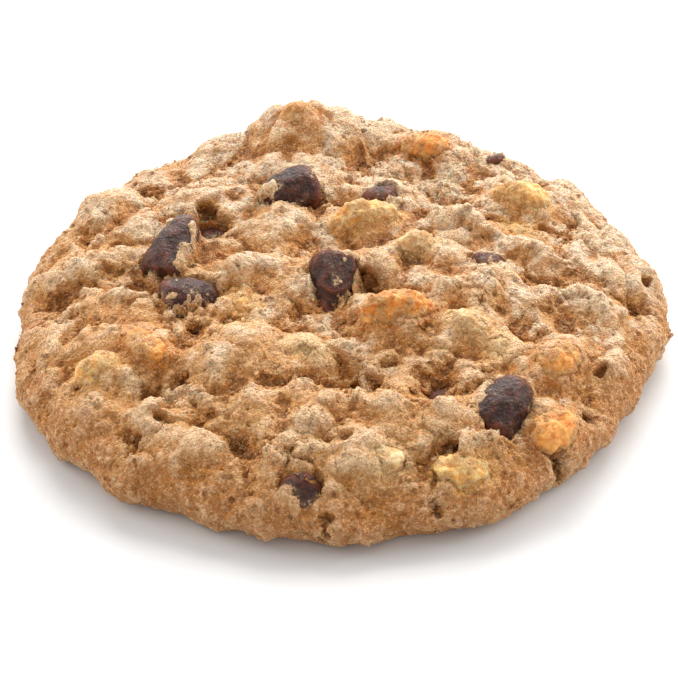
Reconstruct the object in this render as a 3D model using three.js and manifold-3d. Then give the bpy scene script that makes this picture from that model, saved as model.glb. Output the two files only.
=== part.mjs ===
// A round chocolate chip cookie with chopped nuts, in millimetres, +Z up.
// The flat underside lies on z = 0 and the outline is centred on the Z axis.

import * as THREE from "three";
import { mergeVertices } from "three/addons/utils/BufferGeometryUtils.js";
import Module from "manifold-3d";

// Driving dimensions of the dough.
const COOKIE_RADIUS = 43.4;
const CENTRE_HEIGHT = 12.2;
const RIM_HEIGHT = 3.6; // height of the widest line of the rim above the table
const FLAT_SHARE = 0.91; // the flat part of the underside, as a share of the radius
const CROWN_POWER = 3.2; // how square the crown's section is
const SHOULDER_POWER = 0.4;

// Relief of the broken crust.
const LUMP_DROP = 2.9; // how far a lump has fallen at the edge of its reach
const LUMP_BLEND = 0.3; // softness of the creases between lumps
const CREVICE_DEPTH = 2.8;
const SMALL_LUMP_SPACING = 6.6;
const SMALL_LUMP_REACH = 5.6;
const SMALL_LUMP_LIFT = [-1.6, 0.1];
const RIM_RELIEF_START = 0.88; // where the relief starts to flatten towards the edge
const RIM_RELIEF_KEPT = 0.45;

// Swells and dents of the outline: [direction in degrees, half width in degrees, outward distance].
const OUTLINE_SWELLS = [
  [0, 14, 0.9],
  [25, 18, -0.7],
  [90, 30, 0.7],
  [135, 30, 0.4],
  [213, 28, 1.9],
  [268, 20, 0.6],
  [300, 16, 0.5],
  [335, 24, -2.0],
];
// Small lobes of the outline: [lobes around the edge, outward distance, phase].
const OUTLINE_LOBES = [
  [11, 0.3, 1.0],
  [17, 0.28, 2.3],
  [26, 0.22, 4.1],
];

// Lumps that show: [x, y, reach along, reach across, turn in degrees, lift above the crown].
const LUMPS = [
  // Far rim, with the tall bump that holds a nut.
  [-5.5, 38, 6.5, 5, 0, 5.8],
  [3.5, 39, 8, 5, -10, 2.2],
  [-16, 37, 7, 6, 25, 2.0],
  [-27, 31, 8, 6, 40, 0.3],
  [-35, 21, 8, 6, 55, 1.4],
  [-8, 28.5, 9, 5, 5, 1.1],
  [12.5, 35, 8, 5, -10, 2.2],
  [22, 31, 7, 6, -30, 0.9],
  [32, 24, 8, 6, -50, 1.2],
  [38, 13, 7, 6, -70, 0.8],
  // Left side, with its folds and the arch behind the two chips.
  [-19, 18.5, 7.5, 4, 10, 1.8],
  [-29, 13, 8, 4, 20, 0.9],
  [-34, 6, 9, 4, 15, 0.9],
  [-31, -4, 9, 4.5, 5, 0.4],
  [-28.5, -14, 7.5, 4.8, -28, 1.8],
  [-31.5, -19.5, 5, 4.5, 0, 0.9],
  [-38, -12, 5, 8, 10, 0.3],
  // Middle of the crown.
  [-17, 7, 5, 5, 0, 0.9],
  [-13.5, 1.5, 8.5, 3.4, 5, 1.3],
  [-9, 11, 6, 4.6, 10, 1.6],
  [-6.5, -1, 5.5, 5, 0, 0.8],
  [5.5, 19.5, 8.5, 4.5, -20, 1.3],
  [4, 13, 8, 4, -8, 1.6],
  [3.8, 1.8, 5, 4.4, -20, 2.2],
  [11, 5.5, 7, 4, -15, 1.3],
  [17.5, 11.5, 7, 3.6, -25, 1.7],
  [25, 6.5, 8, 3.2, -30, 1.5],
  [25, 20, 8, 5, -25, 1.6],
  [18, -3, 12, 5.5, -15, 1.7],
  [7, -8.5, 6, 5, -5, 1.6],
  [16.5, -11.5, 7, 5, -20, 1.0],
  // Right side, with stacked ridges and the lump on the edge.
  [33, 5, 7, 5, -35, 0.8],
  [41, 5.5, 4, 4.5, 0, 2.6],
  [34, -5, 9, 4.5, -40, 0.8],
  [39, -9, 6, 6, 0, 0.6],
  [27.5, -16.5, 6, 5, 0, 1.5],
  [34, -16, 7, 5, 40, 0.5],
  [28, -27.5, 6, 4.6, 35, 1.3],
  // Front, with the ledge behind the front lobe.
  [-12, -17.5, 9, 6, 5, 1.9],
  [-11, -27, 8, 6, 0, 0.8],
  [-3, -27.5, 6.5, 5, 0, 1.9],
  [5.5, -28, 6, 5.5, 0, 2.0],
  [12.5, -27.5, 6, 5, -10, 1.6],
  [2.5, -34.5, 5, 5, 0, 1.2],
  [-6.5, -36.5, 6, 4.4, 0, 1.2],
  [-25, -27.5, 6, 4.2, -15, 0.9],
  [-21, -33, 6, 4, -20, 0.8],
  [-33, -27, 7, 5.5, -40, 0.6],
  [17, -34, 7, 4.4, 15, 0.7],
];

// Hollows where the crust is torn open: [x, y, radius, depth].
const HOLLOWS = [
  [14, 22, 5.5, 2.2],
  [-17.5, 12.3, 3.2, 2.4],
  [-26, 1, 4.5, 1.4],
  [-4.5, -9.5, 4.5, 1.8],
  [4.5, -3, 3.2, 2.2],
  [2, -22.2, 6, 2.6],
  [12.8, -23, 3.6, 3.0],
  [-23, -22.5, 4.5, 2.2],
  [20.5, -27, 5.5, 1.5],
  [27, 0.5, 4.5, 1.2],
];

// Chocolate chips: [x, y, height of the middle over the crust, width, length, bearing and pitch of the tip].
const CHIP_BASE_ROUND = 1.3;
const CHIP_SIDES_PER_MM = 1.5;
const CHIP_LEAST_SIDES = 7;
const CHIPS = [
  [-22.6, 6.1, 0.6, 7.8, 10.6, 68, 32],
  [-20.5, -3.2, -0.4, 7.4, 8.0, 12, 8],
  [-8.0, 19.3, 0.1, 7.2, 9.6, 208, 0],
  [-1.6, -1.4, 0.2, 6.8, 9.6, 262, -28],
  [20.4, -24.8, 0.9, 8.8, 9.0, 45, 34],
  [5.0, 18.2, -1.3, 4.4, 4.8, 180, 10],
  [19.6, 3.8, -0.6, 4.6, 5.0, 20, 0],
  [12.6, -21.8, -0.2, 4.2, 4.4, 200, 10],
  [-17.6, 13.0, 0.2, 4.6, 4.8, 10, 15],
  [-5.4, -39.1, -3.1, 6.0, 5.0, 90, -40],
  [21.4, 30.4, -0.5, 2.8, 3.0, 200, 10],
];

// Chopped nuts: [x, y, rise of the top over the crust, length, width, thickness, bearing, pitch].
const NUT_ROUGHNESS = 0.16;
const NUTS = [
  [-6.4, 35.2, 1.0, 6.0, 5.0, 4.4, 10, 20],
  [11.6, 32.6, 1.1, 7.2, 4.8, 4.2, -8, 10],
  [3.2, 12.4, 0.8, 9.4, 5.4, 3.8, 12, 0],
  [10.0, 6.2, 0.8, 5.6, 4.2, 3.2, -10, 0],
  [24.6, 19.2, 1.0, 7.2, 6.2, 4.4, -25, 5],
  [23.4, 13.0, 0.8, 8.6, 4.8, 3.8, -30, 0],
  [6.8, -9.4, 1.5, 10.0, 6.2, 5.2, 5, 5],
  [16.2, -11.2, 0.7, 5.6, 4.2, 3.4, -35, 0],
  [20.6, -14.6, 0.8, 4.2, 3.8, 3.2, -30, 0],
  [-13.6, -4.6, 1.0, 5.6, 4.0, 3.4, -35, 10],
  [-12.6, -10.4, 0.9, 6.4, 4.8, 3.8, 5, 0],
  [-4.8, -16.6, 0.9, 5.6, 4.0, 3.4, -10, 0],
  [-25.6, -15.6, 0.7, 7.4, 4.4, 3.6, -48, 0],
  [-31.4, -19.0, 0.7, 6.6, 5.2, 4.0, 15, 0],
  [27.6, -17.6, 1.0, 6.2, 5.2, 4.4, 40, 10],
  [27.0, -29.0, 0.9, 7.4, 5.4, 4.6, 40, -10],
  [14.6, -36.6, 0.8, 8.0, 5.0, 4.0, 8, -10],
  [5.2, -36.2, 0.7, 4.8, 4.4, 3.4, 0, 0],
];

const SOCKET_GAP = 0.3;
const DOUGH_DETAIL = 17;
const CROWN_TRIANGLES = 0.82; // share of the triangles on crown and rim, above the widest line
const TUCK_TRIANGLES = 0.7; // share of the triangles below it that round the edge

const DOUGH = { color: 0xc79a62, roughness: 0.86, metalness: 0 };
const CHOCOLATE = { color: 0x35221f, roughness: 0.5, metalness: 0 };
const NUT = { color: 0xdcb068, roughness: 0.55, metalness: 0 };

const wasm = await Module();
wasm.setup();

/** Returns a function that draws even numbers from 0 to 1, the same ones each run. */
function seededDraws(seed) {
  let state = seed;
  return () => {
    state = (Math.imul(state, 1664525) + 1013904223) >>> 0;
    return state / 4294967296;
  };
}

/** Adds small lumps on a sunflower spiral, so that no part of the crust is smooth. */
function spiralLumps() {
  const draw = seededDraws(7);
  const goldenAngle = Math.PI * (3 - Math.sqrt(5));
  const step = SMALL_LUMP_SPACING / Math.sqrt(Math.PI);
  const count = Math.floor((COOKIE_RADIUS / step) ** 2);
  const [lowest, highest] = SMALL_LUMP_LIFT;
  return Array.from({ length: count }, (_, i) => {
    const radius = step * Math.sqrt(i + 0.5);
    const x = radius * Math.cos(i * goldenAngle);
    const y = radius * Math.sin(i * goldenAngle);
    const stretch = 0.75 + 0.5 * draw();
    const turn = 180 * draw();
    const lift = THREE.MathUtils.lerp(lowest, highest, draw());
    return [x, y, SMALL_LUMP_REACH * stretch, SMALL_LUMP_REACH / stretch, turn, lift];
  });
}

const allLumps = [...LUMPS, ...spiralLumps()].map(([x, y, along, across, turn, lift]) => {
  const angle = THREE.MathUtils.degToRad(turn);
  return { x, y, along, across, lift, cos: Math.cos(angle), sin: Math.sin(angle) };
});

/** Height of the broken crust over the smooth crown at a point of the plan. */
function relief(x, y) {
  let sum = Math.exp(-CREVICE_DEPTH / LUMP_BLEND);
  for (const lump of allLumps) {
    const dx = x - lump.x;
    const dy = y - lump.y;
    const along = (dx * lump.cos + dy * lump.sin) / lump.along;
    const across = (dy * lump.cos - dx * lump.sin) / lump.across;
    sum += Math.exp((lump.lift - LUMP_DROP * (along * along + across * across)) / LUMP_BLEND);
  }
  let height = LUMP_BLEND * Math.log(sum);
  for (const [hx, hy, radius, depth] of HOLLOWS) {
    height -= depth * Math.exp(-(((x - hx) ** 2 + (y - hy) ** 2) / radius ** 2) * 2);
  }
  return height;
}

/** Radius of the outline in one direction. */
function outlineRadius(angle) {
  let radius = COOKIE_RADIUS;
  for (const [direction, halfWidth, distance] of OUTLINE_SWELLS) {
    const turn = THREE.MathUtils.radToDeg(angle) - direction;
    const away = THREE.MathUtils.euclideanModulo(turn + 180, 360) - 180;
    radius += distance * Math.exp(-((away / halfWidth) ** 2));
  }
  for (const [lobes, distance, phase] of OUTLINE_LOBES) {
    radius += distance * Math.sin(lobes * angle + phase);
  }
  return radius;
}

/** Height of the crown, with its relief, at a share of the radius in one direction. */
function crownHeight(share, angle) {
  const radius = share * outlineRadius(angle);
  const crown = Math.max(0, 1 - share ** CROWN_POWER) ** SHOULDER_POWER;
  const flatten = THREE.MathUtils.smoothstep(share, RIM_RELIEF_START, 1);
  const kept = (1 - (1 - RIM_RELIEF_KEPT) * flatten) * Math.min(1, crown * 4);
  const smooth = RIM_HEIGHT + (CENTRE_HEIGHT - RIM_HEIGHT) * crown;
  return smooth + kept * relief(radius * Math.cos(angle), radius * Math.sin(angle));
}

/** Height of the crust at a point of the plan. */
function crustHeight(x, y) {
  const angle = Math.atan2(y, x);
  return crownHeight(Math.hypot(x, y) / outlineRadius(angle), angle);
}

/** Point of the dough's skin that belongs to a direction from the middle of a ball. */
function skinPoint(direction) {
  const angle = Math.atan2(direction.y, direction.x);
  const covered = (1 - THREE.MathUtils.clamp(direction.z, -1, 1)) / 2;
  let share;
  let height;
  if (covered <= CROWN_TRIANGLES) {
    const slope = (Math.PI / 2) * Math.sqrt(covered / CROWN_TRIANGLES) ** 1.4;
    share = Math.sin(slope) ** (2 / CROWN_POWER);
    height = crownHeight(share, angle);
  } else {
    const left = (1 - covered) / (1 - CROWN_TRIANGLES);
    const tuck = (Math.PI / 2) * Math.max(0, 1 - (1 - left) / TUCK_TRIANGLES);
    const flat = Math.sqrt(Math.min(1, left / (1 - TUCK_TRIANGLES)));
    share = FLAT_SHARE * flat + (1 - FLAT_SHARE) * Math.sin(tuck);
    height = RIM_HEIGHT * (1 - Math.cos(tuck));
  }
  const radius = share * outlineRadius(angle);
  return new THREE.Vector3(radius * Math.cos(angle), radius * Math.sin(angle), height);
}

/** Keeps only the positions of a geometry and joins the vertices that coincide. */
function closedGeometry(geometry) {
  geometry.deleteAttribute("normal");
  geometry.deleteAttribute("uv");
  return mergeVertices(geometry, 1e-4);
}

/** Turns a closed geometry into a solid that can be cut. */
function toSolid(geometry) {
  const vertProperties = new Float32Array(geometry.attributes.position.array);
  const triVerts = new Uint32Array(geometry.index.array);
  return new wasm.Manifold(new wasm.Mesh({ numProp: 3, vertProperties, triVerts }));
}

/** Turns a cut solid back into a geometry. */
function toGeometry(solid) {
  const mesh = solid.getMesh();
  const geometry = new THREE.BufferGeometry();
  geometry.setAttribute("position", new THREE.BufferAttribute(new Float32Array(mesh.vertProperties), 3));
  geometry.setIndex(new THREE.BufferAttribute(new Uint32Array(mesh.triVerts), 1));
  geometry.computeVertexNormals();
  return geometry;
}

/** The uncut dough: a ball of even triangles drawn out over crown, rim and underside. */
function doughGeometry() {
  const geometry = closedGeometry(new THREE.IcosahedronGeometry(1, DOUGH_DETAIL));
  const position = geometry.attributes.position;
  const direction = new THREE.Vector3();
  for (let i = 0; i < position.count; i += 1) {
    const point = skinPoint(direction.fromBufferAttribute(position, i).normalize());
    position.setXYZ(i, point.x, point.y, point.z);
  }
  return geometry;
}

/** Turn that carries +Z to a bearing in the plan and a pitch above it, both in degrees. */
function tipTurn(bearing, pitch) {
  const yaw = THREE.MathUtils.degToRad(bearing);
  const climb = THREE.MathUtils.degToRad(pitch);
  const tip = new THREE.Vector3(
    Math.cos(climb) * Math.cos(yaw),
    Math.cos(climb) * Math.sin(yaw),
    Math.sin(climb),
  );
  return new THREE.Quaternion().setFromUnitVectors(new THREE.Vector3(0, 0, 1), tip);
}

/** A drop-shaped chip with a round-edged flat base and a blunt tip along +Z, its middle at the origin. */
function chipGeometry(width, length) {
  const half = width / 2;
  const foot = -length * 0.45;
  const round = Math.min(CHIP_BASE_ROUND, half * 0.4);
  const sides = Math.max(CHIP_LEAST_SIDES, Math.round(width * CHIP_SIDES_PER_MM));
  const profile = new THREE.Path();
  profile.moveTo(0, foot);
  profile.lineTo(half - round, foot);
  profile.quadraticCurveTo(half, foot, half, foot + round);
  profile.bezierCurveTo(half, foot + length * 0.55, half * 0.45, foot + length, 0, foot + length);
  const points = profile.getPoints(3).filter((point, i, all) => i === 0 || point.distanceTo(all[i - 1]) > 1e-6);
  const geometry = new THREE.LatheGeometry(points, sides);
  geometry.rotateX(Math.PI / 2);
  return closedGeometry(geometry);
}

/** A chopped nut: a rough rounded chunk with its length along +Z, its middle at the origin. */
function nutGeometry(length, width, thickness, seed) {
  const geometry = closedGeometry(new THREE.IcosahedronGeometry(1, 1));
  const position = geometry.attributes.position;
  const draw = seededDraws(seed);
  for (let i = 0; i < position.count; i += 1) {
    const swell = 1 + NUT_ROUGHNESS * (2 * draw() - 1);
    position.setXYZ(
      i,
      (position.getX(i) * swell * width) / 2,
      (position.getY(i) * swell * thickness) / 2,
      (position.getZ(i) * swell * length) / 2,
    );
  }
  return geometry;
}

/** Turns a geometry and carries it to its place in the crust. */
function place(geometry, x, y, over, bearing, pitch) {
  geometry.applyQuaternion(tipTurn(bearing, pitch));
  geometry.translate(x, y, crustHeight(x, y) + over);
  return geometry;
}

/** A named mesh with a material of its own. */
function namedMesh(name, geometry, finish) {
  geometry.computeVertexNormals();
  const mesh = new THREE.Mesh(geometry, new THREE.MeshStandardMaterial(finish));
  mesh.name = name;
  return mesh;
}

const cookie = new THREE.Group();
let dough = toSolid(doughGeometry());

CHIPS.forEach(([x, y, over, width, length, bearing, pitch], i) => {
  const chip = (extra) => place(chipGeometry(width + extra, length + extra), x, y, over, bearing, pitch);
  dough = dough.subtract(toSolid(chip(2 * SOCKET_GAP)));
  cookie.add(namedMesh(`chip_${i + 1}`, chip(0), CHOCOLATE));
});

NUTS.forEach(([x, y, rise, length, width, thickness, bearing, pitch], i) => {
  const nut = (extra) => {
    const geometry = nutGeometry(length + extra, width + extra, thickness + extra, i + 11);
    return place(geometry, x, y, rise - thickness / 2, bearing, pitch);
  };
  dough = dough.subtract(toSolid(nut(2.5 * SOCKET_GAP)));
  cookie.add(namedMesh(`nut_${i + 1}`, nut(0), NUT));
});

// Crumbs that a socket has cut loose are dropped.
const [body] = dough.decompose().sort((a, b) => b.volume() - a.volume());
cookie.add(namedMesh("dough", toGeometry(body), DOUGH));

export default cookie;
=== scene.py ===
"""Looks of a round chocolate chip cookie with chopped nuts.

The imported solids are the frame. The dough, the chips and the nuts are made again in their places, with the
broken crust, the crumbs and the finishes of a baked cookie. Lengths here are millimetres unless a name says
otherwise, and each mesh turns to metres as it is made.
"""

from __future__ import annotations

import logging
import math
from dataclasses import dataclass, field
from enum import Enum, IntEnum
from itertools import product
from typing import NamedTuple

import bmesh
import bpy
import numpy as np
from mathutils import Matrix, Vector
from mathutils.bvhtree import BVHTree
from mathutils.kdtree import KDTree


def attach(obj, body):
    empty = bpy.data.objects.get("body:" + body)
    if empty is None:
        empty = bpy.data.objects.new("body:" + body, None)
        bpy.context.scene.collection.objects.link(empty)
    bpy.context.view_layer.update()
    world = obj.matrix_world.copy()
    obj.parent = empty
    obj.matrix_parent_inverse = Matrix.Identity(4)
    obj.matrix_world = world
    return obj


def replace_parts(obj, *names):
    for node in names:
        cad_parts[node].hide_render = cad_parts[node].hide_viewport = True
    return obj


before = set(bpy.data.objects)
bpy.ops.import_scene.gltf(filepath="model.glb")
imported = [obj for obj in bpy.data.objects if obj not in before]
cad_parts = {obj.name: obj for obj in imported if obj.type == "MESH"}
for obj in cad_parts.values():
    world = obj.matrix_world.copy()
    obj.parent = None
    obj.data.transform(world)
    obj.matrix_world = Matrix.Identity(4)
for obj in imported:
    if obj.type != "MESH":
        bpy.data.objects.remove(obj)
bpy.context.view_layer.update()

LOG = logging.getLogger("cookie")
MM = 0.001
IMAGE_SIDE_PX = 678
SENSOR_MM = 36.0
# A height far over anything here.
FAR_MM = 99.0

# Lumps of the crust, the same as the solid's: x, y, reach along, reach across, turn in degrees, lift.
LUMPS = (
    # Far rim, with the tall bump that holds a nut.
    (-5.5, 38, 6.5, 5, 0, 5.8),
    (3.5, 39, 8, 5, -10, 2.2),
    (-16, 37, 7, 6, 25, 2.0),
    (-27, 31, 8, 6, 40, 0.3),
    (-35, 21, 8, 6, 55, 1.4),
    (-8, 28.5, 9, 5, 5, 1.1),
    (12.5, 35, 8, 5, -10, 2.2),
    (22, 31, 7, 6, -30, 0.9),
    (32, 24, 8, 6, -50, 1.2),
    (38, 13, 7, 6, -70, 0.8),
    # Left side, with its folds and the arch behind the two chips.
    (-19, 18.5, 7.5, 4, 10, 1.8),
    (-29, 13, 8, 4, 20, 0.9),
    (-34, 6, 9, 4, 15, 0.9),
    (-31, -4, 9, 4.5, 5, 0.4),
    (-28.5, -14, 7.5, 4.8, -28, 1.8),
    (-31.5, -19.5, 5, 4.5, 0, 0.9),
    (-38, -12, 5, 8, 10, 0.3),
    # Middle of the crown.
    (-17, 7, 5, 5, 0, 0.9),
    (-13.5, 1.5, 8.5, 3.4, 5, 1.3),
    (-9, 11, 6, 4.6, 10, 1.6),
    (-6.5, -1, 5.5, 5, 0, 0.8),
    (5.5, 19.5, 8.5, 4.5, -20, 1.3),
    (4, 13, 8, 4, -8, 1.6),
    (3.8, 1.8, 5, 4.4, -20, 2.2),
    (11, 5.5, 7, 4, -15, 1.3),
    (17.5, 11.5, 7, 3.6, -25, 1.7),
    (25, 6.5, 8, 3.2, -30, 1.5),
    (25, 20, 8, 5, -25, 1.6),
    (18, -3, 12, 5.5, -15, 1.7),
    (7, -8.5, 6, 5, -5, 1.6),
    (16.5, -11.5, 7, 5, -20, 1.0),
    # Right side, with stacked ridges and the lump on the edge.
    (33, 5, 7, 5, -35, 0.8),
    (41, 5.5, 4, 4.5, 0, 2.6),
    (34, -5, 9, 4.5, -40, 0.8),
    (39, -9, 6, 6, 0, 0.6),
    (27.5, -16.5, 6, 5, 0, 1.5),
    (34, -16, 7, 5, 40, 0.5),
    (28, -27.5, 6, 4.6, 35, 1.3),
    # Front, with the ledge behind the front lobe.
    (-12, -17.5, 9, 6, 5, 1.9),
    (-11, -27, 8, 6, 0, 0.8),
    (-3, -27.5, 6.5, 5, 0, 1.9),
    (5.5, -28, 6, 5.5, 0, 2.0),
    (12.5, -27.5, 6, 5, -10, 1.6),
    (2.5, -34.5, 5, 5, 0, 1.2),
    (-6.5, -36.5, 6, 4.4, 0, 1.2),
    (-25, -27.5, 6, 4.2, -15, 0.9),
    (-21, -33, 6, 4, -20, 0.8),
    (-33, -27, 7, 5.5, -40, 0.6),
    (17, -34, 7, 4.4, 15, 0.7),
)
# Hollows where the crust is torn open: x, y, radius, depth.
HOLLOWS = (
    (14, 22, 5.5, 2.2),
    (-17.5, 12.3, 3.2, 2.4),
    (-26, 1, 4.5, 1.4),
    (-4.5, -9.5, 4.5, 1.8),
    (4.5, -3, 3.2, 2.2),
    (2, -22.2, 6, 2.6),
    (12.8, -23, 3.6, 3.0),
    (-23, -22.5, 4.5, 2.2),
    (20.5, -27, 5.5, 1.5),
    (27, 0.5, 4.5, 1.2),
)
# Single dark pits in the crust: x, y, half length, half width, turn in degrees, depth.
PITS = (
    (-0.5, -21.5, 6.0, 1.5, 5, 2.0),
    (10.5, -11.8, 1.1, 0.6, 30, 1.0),
    (6.1, -17.8, 1.6, 0.8, 25, 1.6),
    (-7.3, -36.1, 1.5, 1.3, 20, 2.4),
    (13.0, -34.3, 1.3, 2.0, 0, 2.8),
    (0.0, -33.8, 1.2, 1.2, 0, 1.6),
    (6.7, -35.9, 0.8, 0.9, 0, 1.8),
    (11.4, -41.1, 1.1, 0.7, 15, 1.6),
    (-2.3, -43.4, 0.8, 0.6, 0, 1.2),
    (-21.5, -21.2, 1.4, 1.6, 0, 2.4),
    (-23.4, -28.5, 1.0, 0.9, 0, 1.6),
    (-19.6, -9.4, 1.4, 0.7, 0, 1.6),
    (-34.4, -20.5, 0.7, 0.9, 0, 1.2),
    (-26.3, -30.4, 0.6, 0.6, 0, 1.2),
    (40.6, 2.7, 0.6, 0.8, 0, 1.4),
    (33.3, -17.2, 1.2, 0.6, 40, 1.3),
    (31.3, -25.0, 1.8, 1.0, 40, 2.0),
    (27.1, -31.6, 1.2, 2.4, 50, 2.0),
    (2.7, -1.8, 2.2, 2.0, 0, 2.6),
    (-18.6, 15.4, 1.6, 1.2, 0, 2.4),
)
# Swells and dents of the outline: direction and half width in degrees, outward distance.
OUTLINE_SWELLS = (
    (0, 14, 0.9),
    (25, 18, -0.7),
    (90, 30, 0.7),
    (135, 30, 0.4),
    (213, 28, 1.9),
    (268, 20, 0.6),
    (300, 16, 0.5),
    (335, 24, -2.0),
)
# Small lobes of the outline: lobes around the edge, outward distance, phase.
OUTLINE_LOBES = ((11, 0.3, 1.0), (17, 0.28, 2.3), (26, 0.22, 4.1))


class NutTone(Enum):
    """How far the oven has browned a piece of nut."""

    CREAM = "cream"
    GOLD = "gold"
    AMBER = "amber"

    @property
    def glow(self) -> str:
        """Name of the trait that shows such a nut through a thin cover of dough."""
        return f"glow_{self.value}"


class CrumbKind(Enum):
    """Sizes of the loose-looking crumb on the crust."""

    FRAGMENT = "fragment"
    GRANULE = "granule"


class Seed(IntEnum):
    """Which random pattern each part of the crust follows."""

    DRIFT = 2
    RAGGED = 3
    EDGE = 6
    CRACK = 8
    PIT = 11
    WRINKLE_DRIFT = 15
    WRINKLE = 17
    TORN = 21
    PORE = 91
    TOAST = 95
    PALE = 97


def linear(hex_colour: str) -> tuple[float, float, float, float]:
    """Turns an sRGB hex colour to linear light.

    Args:
        hex_colour: Six hex digits with a leading hash.

    Returns:
        Linear red, green, blue and a full alpha.
    """
    channels = [int(hex_colour[i : i + 2], 16) / 255 for i in (1, 3, 5)]
    return (*[c / 12.92 if c <= 0.04045 else ((c + 0.055) / 1.055) ** 2.4 for c in channels], 1.0)


def smooth_step(low: float, high: float, value: np.ndarray) -> np.ndarray:
    """Rises smoothly from 0 at low to 1 at high."""
    t = np.clip((value - low) / (high - low), 0, 1)
    return t * t * (3 - 2 * t)


def hashed(cells: np.ndarray, seed: int) -> np.ndarray:
    """Draws one even number from 0 to 1 for each lattice cell.

    Args:
        cells: Whole-number lattice places, one row of three each.
        seed: Picks another set of numbers.

    Returns:
        One number for each row.
    """
    whole = cells.astype(np.int64).astype(np.uint32)
    mixed = whole[:, 0] * np.uint32(0x8DA6B343)
    mixed ^= whole[:, 1] * np.uint32(0xD8163841)
    mixed ^= whole[:, 2] * np.uint32(0xCB1AB31F)
    mixed ^= np.uint32((seed * 0x9E3779B9) & 0xFFFFFFFF)
    for shift, factor in ((15, 0x2C1B3C6D), (12, 0x297A2D39)):
        mixed ^= mixed >> np.uint32(shift)
        mixed *= np.uint32(factor)
    mixed ^= mixed >> np.uint32(15)
    return mixed / 4294967296.0


def swell_noise(points: np.ndarray, size: float, seed: int) -> np.ndarray:
    """Smooth random swell, about -1 to 1, from a random slope at each lattice point.

    Args:
        points: Places, one row of three each.
        size: Distance between swells.
        seed: Picks another swell.

    Returns:
        One number for each place.
    """
    scaled = points / size
    base = np.floor(scaled)
    part = scaled - base
    fade = part**3 * (part * (6 * part - 15) + 10)
    total = np.zeros(len(points))
    for corner in product((0, 1), repeat=3):
        slope = np.stack([2 * hashed(base + corner, seed + axis) - 1 for axis in range(3)], axis=1)
        weight = np.prod(np.where(corner, fade, 1 - fade), axis=1)
        total += weight * np.einsum("ij,ij->i", slope, part - corner)
    return 1.6 * total


def layered_noise(points: np.ndarray, size: float, seed: int, layers: int = 3) -> np.ndarray:
    """Adds swells of halving size and weight to one swell, about -1 to 1."""
    return sum(swell_noise(points, size / 2**i, seed + 17 * i) / 2**i for i in range(layers)) / 1.4


def shifted(points: np.ndarray, size: float, distance: float, seed: int) -> np.ndarray:
    """Moves places about at random, so that patterns drawn on them lose their straight lines."""
    return points + distance * np.stack([swell_noise(points, size, seed + 5 * i) for i in range(3)], axis=1)


def turned(place: np.ndarray, x: float, y: float, degrees: float) -> tuple[np.ndarray, np.ndarray]:
    """Distances along and across a turned line through a point of the plan.

    Args:
        place: Places, with x and y in their first two columns.
        x: The point's x.
        y: The point's y.
        degrees: The line's turn from the x axis.

    Returns:
        The distances along and across.
    """
    cos, sin = math.cos(math.radians(degrees)), math.sin(math.radians(degrees))
    right, back = place[:, 0] - x, place[:, 1] - y
    return right * cos + back * sin, back * cos - right * sin


def cell_noise(points: np.ndarray, size: float, seed: int) -> tuple[np.ndarray, np.ndarray]:
    """Splits space into irregular grains.

    Args:
        points: Places, one row of three each.
        size: Mean width of a grain.
        seed: Picks another split.

    Returns:
        Distance to the nearest grain's middle, in grain widths, and that grain's own number from 0 to 1.
    """
    scaled = points / size
    base = np.floor(scaled)
    near = np.full(len(points), 9.0)
    own = np.zeros(len(points))
    for step in product((-1, 0, 1), repeat=3):
        cell = base + step
        middle = cell + np.stack([hashed(cell, seed + axis) for axis in range(3)], axis=1)
        away = np.linalg.norm(middle - scaled, axis=1)
        own = np.where(away < near, hashed(cell, seed + 3), own)
        near = np.minimum(near, away)
    return near, own


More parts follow.
